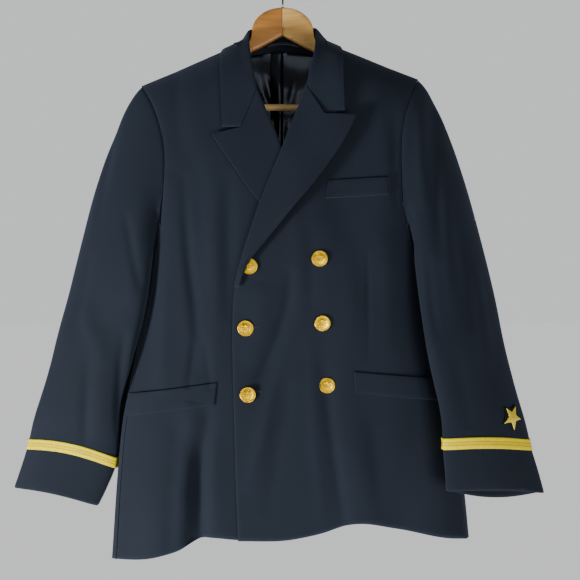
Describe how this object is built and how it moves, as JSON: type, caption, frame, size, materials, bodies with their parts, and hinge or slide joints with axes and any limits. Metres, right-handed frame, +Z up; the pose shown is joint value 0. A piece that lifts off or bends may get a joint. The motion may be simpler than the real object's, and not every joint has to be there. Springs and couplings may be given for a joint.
{
  "type": "blazer on a hanger",
  "caption": "Double-breasted peaked-lapel blazer of dark wool hanging on a shaped wooden suit hanger.",
  "frame": {"origin": "where the hanger's hook rests on its rail, on the inside of the hook's top bend", "axes": "+Z up along the hanging garment, -Y out of the garment's front, +X to the wearer's left"},
  "size_m": [0.8435, 0.1389, 0.9539],
  "materials": {
    "serge": "dark navy wool serge, fine twill, matt with a soft nap",
    "satin": "black lining satin, smooth with a soft sheen",
    "gilt": "polished gilt",
    "gold_lace": "flat woven gold lace",
    "gold_thread": "gold thread in satin stitch",
    "wood": "varnished warm wood",
    "pale_wood": "lightly varnished pale wood",
    "steel": "plated steel wire"
  },
  "bodies": {
    "root": {"front_left": "serge", "front_right": "serge", "back_left": "serge", "back_right": "serge", "side_left": "serge", "side_right": "serge", "topsleeve_left": "serge", "topsleeve_right": "serge", "undersleeve_left": "serge", "undersleeve_right": "serge", "lapel_left": "serge", "lapel_right": "serge", "collar": "serge", "breast_welt": "serge", "pocket_flap_left": "serge", "pocket_flap_right": "serge", "star_patch_left": "serge", "star_patch_right": "serge", "back_lining": "satin", "hanging_loop": "satin", "button_right_top": "gilt", "button_right_middle": "gilt", "button_right_low": "gilt", "button_left_top": "gilt", "button_left_middle": "gilt", "button_left_low": "gilt", "cuff_braid_left": "gold_lace", "cuff_braid_right": "gold_lace", "star_left": "gold_thread", "star_right": "gold_thread", "hanger_arm_left": "wood", "hanger_arm_right": "wood", "trouser_bar": "pale_wood", "hanger_hook": "steel"}
  },
  "joints": []
}
